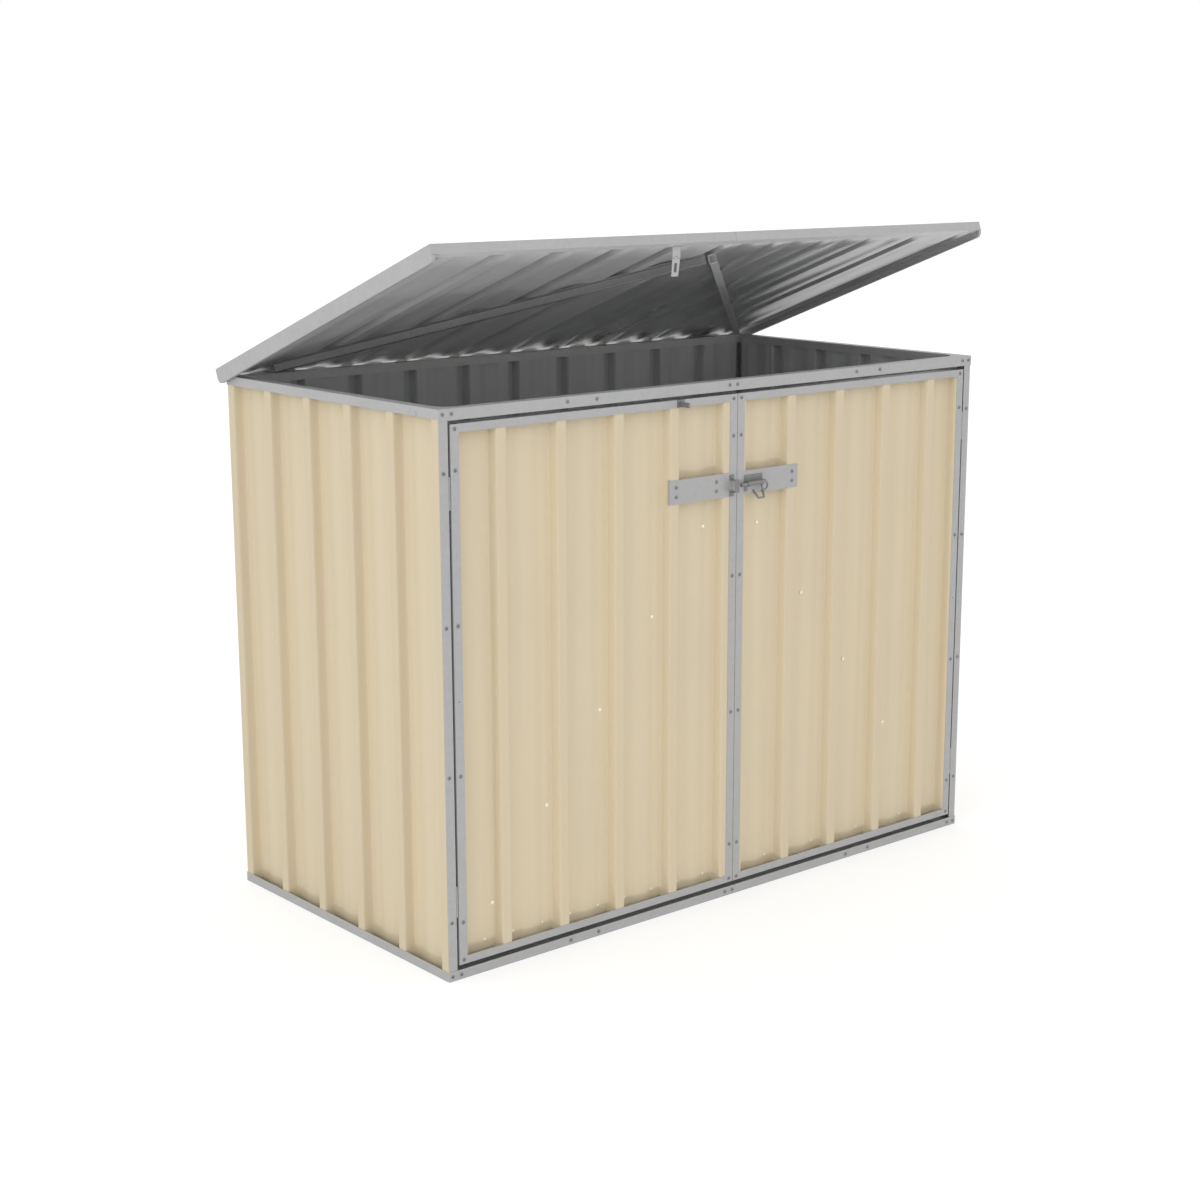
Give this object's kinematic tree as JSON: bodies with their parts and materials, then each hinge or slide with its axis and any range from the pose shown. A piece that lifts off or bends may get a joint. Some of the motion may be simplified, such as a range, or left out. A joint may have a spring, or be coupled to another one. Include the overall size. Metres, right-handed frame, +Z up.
{
  "type": "wheelie bin store",
  "caption": "Low ribbed steel store for wheelie bins, with a folded frame, double doors, a sliding bolt and a lid hinged at the back.",
  "frame": {"origin": "on the ground under the middle of the whole object's box", "axes": "+X to the right seen from the doors, +Y from the doors to the back, +Z up"},
  "size_m": [1.545, 0.8238, 1.4445],
  "materials": {
    "cream_paint": "satin",
    "galvanised": "satin",
    "lid_steel": "satin",
    "zinc_hardware": "satin"
  },
  "bodies": {
    "cabinet": {"base_rail_front_left": "galvanised", "base_rail_front_right": "galvanised", "base_rail_left": "galvanised", "base_rail_right": "galvanised", "base_rails_back": "galvanised", "top_rail_front_left": "galvanised", "top_rail_front_right": "galvanised", "top_rail_left": "galvanised", "top_rail_right": "galvanised", "top_rails_back": "galvanised", "corner_gusset_left": "galvanised", "corner_gusset_right": "galvanised", "post_front_left": "galvanised", "post_front_right": "galvanised", "post_back_left": "galvanised", "post_back_right": "galvanised", "wall_sheet_left": "cream_paint", "wall_sheet_right": "cream_paint", "wall_sheet_back_left": "cream_paint", "wall_sheet_back_right": "cream_paint", "post_hinges_left": "zinc_hardware", "post_hinges_right": "zinc_hardware", "rail_hinges": "zinc_hardware", "frame_screws": "zinc_hardware"},
    "left_door": {"left_door_hinge_stile": "galvanised", "left_door_meeting_stile": "galvanised", "left_door_top_rail": "galvanised", "left_door_bottom_rail": "galvanised", "left_door_sheet": "cream_paint", "left_door_brace": "galvanised", "left_door_rivets": "cream_paint", "left_door_hinges": "zinc_hardware", "left_lock_plate": "galvanised", "bolt_keeper": "zinc_hardware", "hasp_staple": "zinc_hardware", "left_door_screws": "zinc_hardware"},
    "right_door": {"right_door_hinge_stile": "galvanised", "right_door_meeting_stile": "galvanised", "right_door_top_rail": "galvanised", "right_door_bottom_rail": "galvanised", "right_door_sheet": "cream_paint", "right_door_brace": "galvanised", "right_door_rivets": "cream_paint", "right_door_hinges": "zinc_hardware", "right_lock_plate": "galvanised", "bolt_barrel": "zinc_hardware", "padlock_staple": "zinc_hardware", "right_door_screws": "zinc_hardware"},
    "lid": {"lid_sheet_left": "lid_steel", "lid_sheet_right": "lid_steel", "lid_side_capping_left": "galvanised", "lid_side_capping_right": "galvanised", "lid_front_cappings": "galvanised", "lid_rear_cappings": "galvanised", "lid_braces": "galvanised", "lid_hinges": "zinc_hardware", "hasp_leaf": "zinc_hardware"},
    "bolt": {"bolt": "zinc_hardware"},
    "hasp": {"hasp_strap": "zinc_hardware"}
  },
  "joints": [
    {"name": "left_door_hinge", "type": "hinge", "parent": "cabinet", "child": "left_door", "pos_m": [-0.7361, -0.38383, 0.163], "axis": [0, 0, -1], "range_deg": [0, 100]},
    {"name": "right_door_hinge", "type": "hinge", "parent": "cabinet", "child": "right_door", "pos_m": [0.7361, -0.38383, 0.163], "axis": [0, 0, 1], "range_deg": [0, 100]},
    {"name": "lid_hinge", "type": "hinge", "parent": "cabinet", "child": "lid", "pos_m": [0, 0.39207, 1.136], "axis": [-1, 0, 0], "range_deg": [-20.14, 75]},
    {"name": "bolt_slide", "type": "slide", "parent": "right_door", "child": "bolt", "axis": [1, 0, 0], "range_m": [-0.03, 0]},
    {"name": "hasp_hinge", "type": "hinge", "parent": "lid", "child": "hasp", "pos_m": [-0.1495, -0.36877, 1.39696], "axis": [-1, 0, 0], "range_deg": [0, 110]}
  ]
}
